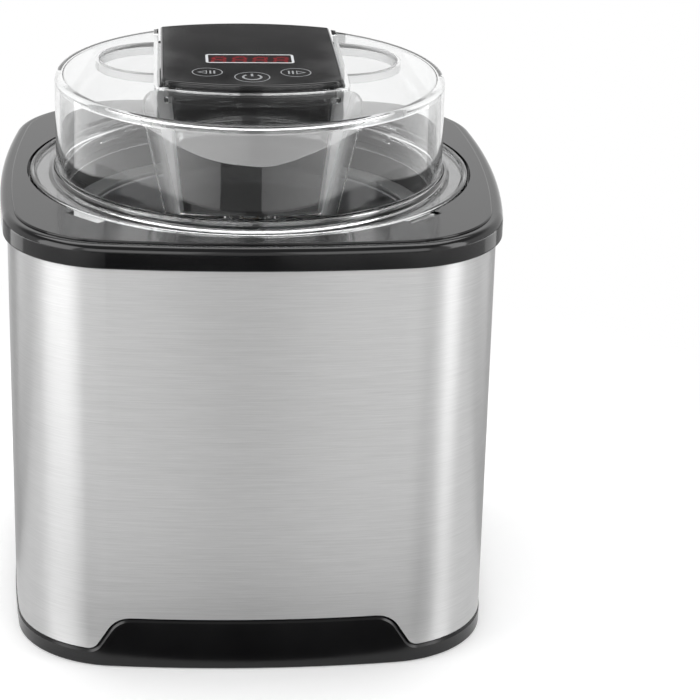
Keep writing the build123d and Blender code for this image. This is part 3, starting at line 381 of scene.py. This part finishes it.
# The gel is wet and blue, with a slow ripple.
gel = mottled("blue_coolant_gel", "#3d7fb4", "#5a9ac9",
              rough=(0.08, 0.16), grain=0.004, depth=0.00005, IOR=1.36)
dress(gel, "coolant_gel")

# Paddle: one stiff acetal moulding that scrapes the cup, lifted off its pivot to wash; its
# socket takes the square end of the drive shaft. Satin, dark grey, with soft highlights.
paddle_plastic = mottled("dark_grey_acetal", "#2b2c2e", "#343537",
                         rough=(0.34, 0.44), grain=0.0005, depth=0.000004, IOR=1.48)
dress(paddle_plastic, "mixing_paddle")

# Lid: two clear polished mouldings, the drum and the seat welded into it. Thin walls show the
# bowl and the black motor housing, edges gather white, and slow waves bend reflections a
# little. The walls of the fillers and the ribs beside the well are etched to a pale satin.
WAVE = 0.03
WAVE_DEPTH = 0.00005
ETCHED_ROUGH = 0.4
FILLER_AT = (0.042, 0.025, 0.0)
FILLER_RADIUS = 0.028
FILLER_SKIN = 0.0002
FILLER_HAZE = 0.15
RIB_TURN = math.radians(35)
RIB_HALF = 0.00112
RIB_LEAN = 0.242
RIB_EDGE = 0.0017
RIB_FADE = 0.011
RIB_HAZE = 0.65


def ribs(tree, side, y, z):
    """Mask of the two ribs beside the well, fading out away from their slanted edge."""
    folded = node(tree, "ShaderNodeCombineXYZ", {"X": side, "Y": y, "Z": z}).outputs[0]
    across = (math.sin(RIB_TURN), math.cos(RIB_TURN), 0)
    outward = (math.cos(RIB_TURN), -math.sin(RIB_TURN), -RIB_LEAN)
    off, out = (node(tree, "ShaderNodeVectorMath", {0: folded, 1: way},
                     operation="DOT_PRODUCT").outputs["Value"] for way in (across, outward))
    rib = node(tree, "ShaderNodeMath", {0: off, 1: 0.0, 2: RIB_HALF}, operation="COMPARE").outputs[0]
    fade = node(tree, "ShaderNodeMapRange",
                {"Value": out, "From Min": RIB_EDGE, "From Max": RIB_EDGE - RIB_FADE},
                interpolation_type="SMOOTHSTEP").outputs["Result"]
    return node(tree, "ShaderNodeMath", {0: rib, 1: fade}, operation="MULTIPLY").outputs[0]


def fillers(tree, side, y, z):
    """Mask of the round walls of the two filler openings, at any height."""
    plan = node(tree, "ShaderNodeCombineXYZ", {"X": side, "Y": y}).outputs[0]
    reach = node(tree, "ShaderNodeVectorMath", {0: plan, 1: FILLER_AT}, operation="DISTANCE").outputs["Value"]
    return node(tree, "ShaderNodeMath", {0: reach, 1: FILLER_RADIUS, 2: FILLER_SKIN},
                operation="COMPARE").outputs[0]


def clear_plastic(name, etched, haze):
    """Clear polished plastic, turned to a pale satin with some haze where the mask says."""
    made, tree = blank(name)
    spot = node(tree, "ShaderNodeTexCoord").outputs["Object"]
    wave = node(tree, "ShaderNodeTexNoise", {"Vector": spot, "Scale": 1 / WAVE, "Detail": 1.0}).outputs["Fac"]
    relief = node(tree, "ShaderNodeBump", {"Height": wave, "Strength": 0.5, "Distance": WAVE_DEPTH})
    tint = node(tree, "ShaderNodeMix", {0: wave, 6: paint("#fbfcfc"), 7: paint("#ffffff")}, data_type="RGBA")
    parts = node(tree, "ShaderNodeSeparateXYZ", {0: spot}).outputs
    side = node(tree, "ShaderNodeMath", {0: parts["X"]}, operation="ABSOLUTE").outputs[0]
    etch = etched(tree, side, parts["Y"], parts["Z"])
    rough = node(tree, "ShaderNodeMapRange", {"Value": etch, "To Min": 0.0, "To Max": ETCHED_ROUGH})
    clearness = node(tree, "ShaderNodeMapRange", {"Value": etch, "To Min": 1.0, "To Max": 1 - haze})
    surface = node(tree, "ShaderNodeBsdfPrincipled", {
        "Base Color": tint.outputs[2], "Roughness": rough.outputs["Result"], "IOR": 1.57,
        "Transmission Weight": clearness.outputs["Result"], "Normal": relief.outputs["Normal"]})
    node(tree, "ShaderNodeOutputMaterial", {"Surface": surface.outputs["BSDF"]})
    return made


# The drum's rolled top edge bends light so sharply that it is cut finer than the rest.
# ring radius, height and rounding of the edge, outside and inside
ROLLED_EDGES = ((0.0868, 0.2467, 0.003), (0.0854, 0.2453, -0.002))
EDGE_CUTS = 4
ON_CURVE = 0.00002
PAST_CENTRE = 0.00001


def roll_under(points, edges):
    """The rolled edge that a triangle lies on, or None."""
    middle = sum(points, Vector()) / 3
    for ring, height, size in edges:
        outer = math.hypot(middle.x, middle.y) > ring + PAST_CENTRE and middle.z > height + PAST_CENTRE
        if outer and all(abs(math.hypot(math.hypot(p.x, p.y) - ring, p.z - height) - abs(size)) < ON_CURVE
                         for p in points):
            return ring, height, size
    return None


def rolled(name, source, edges, cuts):
    """Copy of a piece with its rolled edges cut finer and laid on their true curve.

    New corners on the border of an edge stay on the straight border, so that no gap opens.
    """
    cad = source.data
    corners = [v.co.copy() for v in cad.vertices]
    rolls, uses = {}, {}
    for face in cad.polygons:
        roll = roll_under([corners[i] for i in face.vertices], edges)
        if roll:
            rolls[face.index] = roll
            for side in face.edge_keys:
                uses[side] = uses.get(side, 0) + 1
    faces, normals, made = [], [], {}
    for face in cad.polygons:
        if face.index not in rolls:
            faces.append(tuple(face.vertices))
            normals += [cad.corner_normals[i].vector.copy() for i in face.loop_indices]
            continue
        ring, height, size = rolls[face.index]
        a, b, c = face.vertices
        grid = {}
        for i in range(cuts + 1):
            for j in range(cuts + 1 - i):
                shares = {v: n for v, n in ((a, cuts - i - j), (b, i), (c, j)) if n}
                key = tuple(sorted(shares.items())) if len(shares) < 3 else (face.index, i, j)
                if key not in made:
                    place = sum((corners[v] * n for v, n in shares.items()), Vector()) / cuts
                    turn = math.atan2(place.y, place.x)
                    core = Vector((ring * math.cos(turn), ring * math.sin(turn), height))
                    away = (place - core).normalized()
                    if len(shares) == 3 or len(shares) == 2 and uses[tuple(sorted(shares))] == 2:
                        place = core + away * abs(size)
                    if len(shares) == 1:
                        made[key] = (key[0][0], away)
                    else:
                        made[key] = (len(corners), away)
                        corners.append(place)
                grid[i, j] = made[key]
        for i in range(cuts):
            for j in range(cuts - i):
                small = [(grid[i, j], grid[i + 1, j], grid[i, j + 1])]
                if i + j < cuts - 1:
                    small.append((grid[i + 1, j], grid[i + 1, j + 1], grid[i, j + 1]))
                for three in small:
                    faces.append(tuple(v for v, away in three))
                    normals += [away if size > 0 else -away for v, away in three]
    mesh = bpy.data.meshes.new(name)
    mesh.from_pydata(corners, [], faces)
    mesh.polygons.foreach_set("use_smooth", [True] * len(faces))
    mesh.normals_split_custom_set(normals)
    piece = bpy.data.objects.new(name, mesh)
    bpy.context.scene.collection.objects.link(piece)
    return piece


drum = rolled("drum_lid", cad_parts["clear_lid"], ROLLED_EDGES, EDGE_CUTS)
drum.data.materials.append(clear_plastic("clear_styrene_acrylonitrile", fillers, FILLER_HAZE))
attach(drum, "lid")
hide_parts("clear_lid")
dress(clear_plastic("etched_styrene_acrylonitrile", ribs, RIB_HAZE), "clear_well")

# Drive housing: tub and crowned cover moulded in black plastic and screwed together at the
# tail. Both are polished, and mirror the room sharply through the lid.
gloss_black = mottled("gloss_black_plastic", "#0a0a0b", "#0e0e0f",
                      rough=(0.05, 0.09), grain=0.002, depth=0.000001, IOR=1.53)
dress(gloss_black, "drive_tub", "drive_cover")

# Panel: black film let into the cover, with three round keys cut from the same film. It is
# smooth and a little less glossy than the cover. Marks are screen printed in light grey: a
# ring round each key and a sign on it.
film_black = mottled("satin_black_film", "#111112", "#151516",
                     rough=(0.12, 0.18), grain=0.0008, depth=0.0000005, IOR=1.5)
dress(film_black, "panel_film", "minus_key", "power_key", "plus_key")
CROWN_TOP = 0.253
CROWN_APEX = -0.0017
CROWN_RADIUS = 1.5
INK_LIFT = 0.00003
PEN = 0.0005
BAR_PEN = 0.0008
BOLD_PEN = 0.0011
MINUS_AT = (-0.0202, -0.0128)
PLUS_AT = (0.0202, -0.0128)
POWER_AT = (0.0, -0.0207)
SIDE_RING = 0.0068
POWER_RING = 0.0079
POWER_ARC = 0.0041
POWER_ARC_ENDS = (128, 412)
POWER_STEM = (0.0012, 0.0052)
ARROW = ((0.0042, 0.0), (0.0004, 0.0023), (0.0004, -0.0023))
BARS_AT = (-0.0014, -0.0032)
BAR_HALF = 0.0025

# Ink dries matt and a little uneven.
grey_ink = mottled("grey_ink", "#8c8e90", "#989a9c",
                   rough=(0.45, 0.6), grain=0.0002, depth=0.000002, patch=0.002, IOR=1.5)
light_ink = mottled("light_grey_ink", "#c6c8ca", "#d6d8da",
                    rough=(0.45, 0.6), grain=0.0002, depth=0.000002, patch=0.002, IOR=1.5)


def crown(y):
    """Height of the head's crowned top."""
    return CROWN_TOP - (y - CROWN_APEX) ** 2 / (2 * CROWN_RADIUS)


def arc(centre, size, start=0.0, end=360.0, steps=72):
    """Points along a circle, from one angle to another in degrees."""
    turns = [math.radians(start + (end - start) * i / steps) for i in range(steps + 1)]
    return [(centre[0] + size * math.cos(t), centre[1] + size * math.sin(t)) for t in turns]


def node_tree(name, *sockets):
    """A new geometry node tree with these inputs, and the sockets that give them."""
    tree = bpy.data.node_groups.new(name, "GeometryNodeTree")
    for label, kind in sockets:
        tree.interface.new_socket(label, in_out="INPUT", socket_type=kind)
    tree.interface.new_socket("Piece", in_out="OUTPUT", socket_type="NodeSocketGeometry")
    return tree, node(tree, "NodeGroupInput").outputs


def grow(piece, tree, values):
    """Runs a piece through a node tree and keeps the result as its plain mesh."""
    grown = piece.modifiers.new(tree.name, "NODES")
    grown.node_group = tree
    for socket in tree.interface.items_tree:
        if socket.name in values:
            grown[socket.identifier] = values[socket.name]
    mesh = bpy.data.meshes.new_from_object(piece.evaluated_get(bpy.context.evaluated_depsgraph_get()))
    piece.modifiers.clear()
    mesh.name = piece.name
    piece.data = mesh


# A pen line: a flat nib drawn along a path, as wide as the path says at each point.
pen_line, given = node_tree("pen_line", ("Path", "NodeSocketGeometry"), ("Lift", "NodeSocketFloat"),
                            ("Ink", "NodeSocketMaterial"))
path = node(pen_line, "GeometryNodeMeshToCurve", {"Mesh": given["Path"]}).outputs[0]
path = node(pen_line, "GeometryNodeSetCurveNormal", {"Curve": path}, mode="Z_UP").outputs[0]
nib = node(pen_line, "GeometryNodeCurvePrimitiveLine", {"Start": (-0.5, 0, 0), "End": (0.5, 0, 0)}).outputs[0]
width = node(pen_line, "GeometryNodeInputNamedAttribute", {"Name": "width"}, data_type="FLOAT").outputs[0]
band = node(pen_line, "GeometryNodeCurveToMesh",
            {"Curve": path, "Profile Curve": nib, "Scale": width}).outputs[0]
rise = node(pen_line, "ShaderNodeCombineXYZ", {"Z": given["Lift"]}).outputs[0]
band = node(pen_line, "GeometryNodeSetPosition", {"Geometry": band, "Offset": rise}).outputs[0]
band = node(pen_line, "GeometryNodeRemoveAttribute", {"Geometry": band, "Name": "width"}).outputs[0]
band = node(pen_line, "GeometryNodeRealizeInstances", {"Geometry": band}).outputs[0]
band = node(pen_line, "GeometryNodeSetMaterial", {"Geometry": band, "Material": given["Ink"]}).outputs[0]
node(pen_line, "NodeGroupOutput", {"Piece": band})


def printed(name, lines, body, ink):
    """A flat print on the crowned top; each line has its points, a width, and may close.

    At a corner the line is made wider, so that it keeps its width on both sides of it.
    """
    corners, edges, widths = [], [], []
    for points, width, closed in lines:
        first, count = len(corners), len(points)
        corners += [(x, y, crown(y)) for x, y in points]
        edges += [(first + i, first + (i + 1) % count) for i in range(count if closed else count - 1)]
        for i, here in enumerate(points):
            turn = 0.0
            if closed or 0 < i < count - 1:
                ahead = Vector(points[(i + 1) % count]) - Vector(here)
                turn = ahead.angle(Vector(here) - Vector(points[i - 1]))
            widths.append(width / math.cos(turn / 2))
    mesh = bpy.data.meshes.new(name)
    mesh.from_pydata(corners, edges, [])
    mesh.attributes.new("width", "FLOAT", "POINT").data.foreach_set("value", widths)
    piece = bpy.data.objects.new(name, mesh)
    bpy.context.scene.collection.objects.link(piece)
    grow(piece, pen_line, {"Lift": INK_LIFT, "Ink": ink})
    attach(piece, body)


printed("key_rings", [
    (arc(MINUS_AT, SIDE_RING)[:-1], PEN, True),
    (arc(PLUS_AT, SIDE_RING)[:-1], PEN, True),
    (arc(POWER_AT, POWER_RING)[:-1], PEN, True),
], "drive_unit", grey_ink)
printed("power_sign", [
    (arc(POWER_AT, POWER_ARC, *POWER_ARC_ENDS), BOLD_PEN, False),
    ([(POWER_AT[0], POWER_AT[1] + y) for y in POWER_STEM], BOLD_PEN, False),
], "power_button", grey_ink)
for name, place, way, body in (("minus_sign", MINUS_AT, -1, "minus_button"),
                               ("plus_sign", PLUS_AT, 1, "plus_button")):
    arrow = [(place[0] + way * x, place[1] + y) for x, y in ARROW[::-way]]
    bars = [[(place[0] + way * x, place[1] + y) for y in (-BAR_HALF, BAR_HALF)] for x in BARS_AT]
    printed(name, [(arrow, PEN, True)] + [(bar, BAR_PEN, False) for bar in bars], body, grey_ink)

# Display: acrylic window flush with the film, framed by a printed line, over a black module
# whose four digits glow a dull red.
WINDOW_AT = (0.0, 0.0112)
WINDOW_HALF = (0.0199, 0.0074)
WINDOW_CORNER = 0.0014
FRAME_PEN = 0.0012
HAZE_SIZE = 0.004
DIGITS = 4
DIGIT_SIZE = (0.0070, 0.0114)
DIGIT_PITCH = 0.0096
DIGIT_SLANT = 0.08
SEGMENT = 0.0017
SEGMENT_GAP = 0.00016
GLOW_SIZE = 0.003
MODULE_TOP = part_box("display_module")[1].z

# The window is smoked red, so that the unlit module behind it hardly shows.
smoked, tree = blank("smoked_acrylic")
spot = node(tree, "ShaderNodeTexCoord").outputs["Object"]
haze = node(tree, "ShaderNodeTexNoise", {"Vector": spot, "Scale": 1 / HAZE_SIZE, "Detail": 2.0}).outputs[0]
tint = node(tree, "ShaderNodeMix", {0: haze, 6: paint("#9e4650"), 7: paint("#a84c58")}, data_type="RGBA")
surface = node(tree, "ShaderNodeBsdfPrincipled", {
    "Base Color": tint.outputs[2], "Roughness": 0.05, "IOR": 1.49, "Transmission Weight": 1.0})
node(tree, "ShaderNodeOutputMaterial", {"Surface": surface.outputs["BSDF"]})
dress(smoked, "display_lens")

# The module, the switches and their plungers have a dull moulded face that stays black.
module_black = mottled("matt_black_plastic", "#0e0c0c", "#141111",
                       rough=(0.6, 0.75), grain=0.0004, depth=0.000006, IOR=1.5)
dress(module_black, "display_module", "tact_switches", "minus_plunger", "power_plunger", "plus_plunger")

half_wide, half_high = (half - WINDOW_CORNER for half in WINDOW_HALF)
frame_line = []
for cx, cy, start in ((1, 1, 0), (-1, 1, 90), (-1, -1, 180), (1, -1, 270)):
    middle = (WINDOW_AT[0] + cx * half_wide, WINDOW_AT[1] + cy * half_high)
    frame_line += arc(middle, WINDOW_CORNER, start, start + 90, 8)
printed("window_frame", [(frame_line, FRAME_PEN, True)], "drive_unit", light_ink)

# The segments are dark red plastic lit from behind, a little unevenly.
red_light, tree = blank("red_lit_segments")
spot = node(tree, "ShaderNodeTexCoord").outputs["Object"]
uneven = node(tree, "ShaderNodeTexNoise", {"Vector": spot, "Scale": 1 / GLOW_SIZE, "Detail": 1.0}).outputs[0]
glow = node(tree, "ShaderNodeMix", {0: uneven, 6: paint("#cc2c4a"), 7: paint("#e03c5a")}, data_type="RGBA")
surface = node(tree, "ShaderNodeBsdfPrincipled", {
    "Base Color": paint("#40100f"), "Roughness": 0.5,
    "Emission Color": glow.outputs[2], "Emission Strength": 1.5})
node(tree, "ShaderNodeOutputMaterial", {"Surface": surface.outputs["BSDF"]})

# One digit of seven pointed segments, which a row repeats
half_wide, half_high = (size / 2 - SEGMENT / 2 for size in DIGIT_SIZE)
joints = [Vector((x, y)) for y in (-half_high, 0, half_high) for x in (-half_wide, half_wide)]
first_digit = WINDOW_AT[0] - (DIGITS - 1) / 2 * DIGIT_PITCH
corners, faces = [], []
for first, last in ((0, 1), (2, 3), (4, 5), (0, 2), (1, 3), (2, 4), (3, 5)):
    along = (joints[last] - joints[first]).normalized()
    across = Vector((-along.y, along.x)) * (SEGMENT / 2)
    tip = along * (SEGMENT / 2)
    a, b = joints[first] + along * SEGMENT_GAP, joints[last] - along * SEGMENT_GAP
    outline = [a, a + tip - across, b - tip - across, b, b - tip + across, a + tip + across]
    faces.append(tuple(range(len(corners), len(corners) + len(outline))))
    corners += [(first_digit + p.x + DIGIT_SLANT * p.y, WINDOW_AT[1] + p.y, MODULE_TOP + INK_LIFT)
                for p in outline]
digit_row, given = node_tree("digit_row", ("Digit", "NodeSocketGeometry"), ("Digits", "NodeSocketInt"),
                             ("Pitch", "NodeSocketFloat"), ("Light", "NodeSocketMaterial"))
step = node(digit_row, "ShaderNodeCombineXYZ", {"X": given["Pitch"]}).outputs[0]
places = node(digit_row, "GeometryNodeMeshLine", {"Count": given["Digits"], "Offset": step}).outputs[0]
row = node(digit_row, "GeometryNodeInstanceOnPoints",
           {"Points": places, "Instance": given["Digit"]}).outputs[0]
row = node(digit_row, "GeometryNodeRealizeInstances", {"Geometry": row}).outputs[0]
row = node(digit_row, "GeometryNodeSetMaterial", {"Geometry": row, "Material": given["Light"]}).outputs[0]
node(digit_row, "NodeGroupOutput", {"Piece": row})
mesh = bpy.data.meshes.new("display_digits")
mesh.from_pydata(corners, [], faces)
digits = bpy.data.objects.new("display_digits", mesh)
bpy.context.scene.collection.objects.link(digits)
grow(digits, digit_row, {"Digits": DIGITS, "Pitch": DIGIT_PITCH, "Light": red_light})
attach(digits, "drive_unit")

# Control board: glass fibre sheet held to the cover by four screws, with the switches and the
# display on top. Its green solder mask is glossy, and paler where copper tracks run under it.
TRACK_FIELD = 0.012
board, tree = blank("green_circuit_board")
spot = node(tree, "ShaderNodeTexCoord").outputs["Object"]
tracks = node(tree, "ShaderNodeTexBrick", {
    "Vector": spot, "Scale": 1 / TRACK_FIELD,
    "Color1": paint("#1c5b33"), "Color2": paint("#206a3b"), "Mortar": paint("#2f8a50"),
    "Mortar Size": 0.03, "Brick Width": 0.7, "Row Height": 0.2})
gloss = node(tree, "ShaderNodeMapRange", {"Value": tracks.outputs["Fac"], "To Min": 0.32, "To Max": 0.24})
surface = node(tree, "ShaderNodeBsdfPrincipled", {
    "Base Color": tracks.outputs["Color"], "Roughness": gloss.outputs["Result"], "IOR": 1.55})
node(tree, "ShaderNodeOutputMaterial", {"Surface": surface.outputs["BSDF"]})
dress(board, "control_board")

# Gear train and motor: moulded acetal gears on ground steel shafts, a bronze bush in the
# tub's floor, and a plated motor can on a pressed steel plate.

# Natural acetal is milky white with a waxy gloss.
acetal = mottled("natural_acetal", "#e2dfd6", "#ebe8e0",
                 rough=(0.3, 0.42), grain=0.0004, depth=0.000003, IOR=1.48)
dress(acetal, "motor_pinion", "lay_gear", "output_wheel")

# Ground steel is bright and smooth.
ground = mottled("ground_steel", "#b6b8ba", "#cbcccd",
                 rough=(0.16, 0.26), grain=0.0002, depth=0.000001, Metallic=1.0)
dress(ground, "motor_shaft", "lay_pin", "output_shaft")

# Sintered bronze is porous, so it is dull and speckled.
bronze = mottled("sintered_bronze", "#b58a4e", "#c79d60",
                 rough=(0.38, 0.5), grain=0.0002, depth=0.000004, patch=0.003, Metallic=1.0)
dress(bronze, "shaft_bush")

# Pressed sheet is a plain grey metal with a soft gloss, and the plated can a darker one.
pressed = mottled("pressed_steel", "#a4a6a8", "#bdbfc0",
                  rough=(0.3, 0.42), grain=0.0004, depth=0.000002, Metallic=1.0)
dress(pressed, "gearbox_plate")
plated = mottled("plated_motor_can", "#9a9b9d", "#b0b1b3",
                 rough=(0.24, 0.36), grain=0.0006, depth=0.000003, Metallic=1.0)
dress(plated, "motor_can")
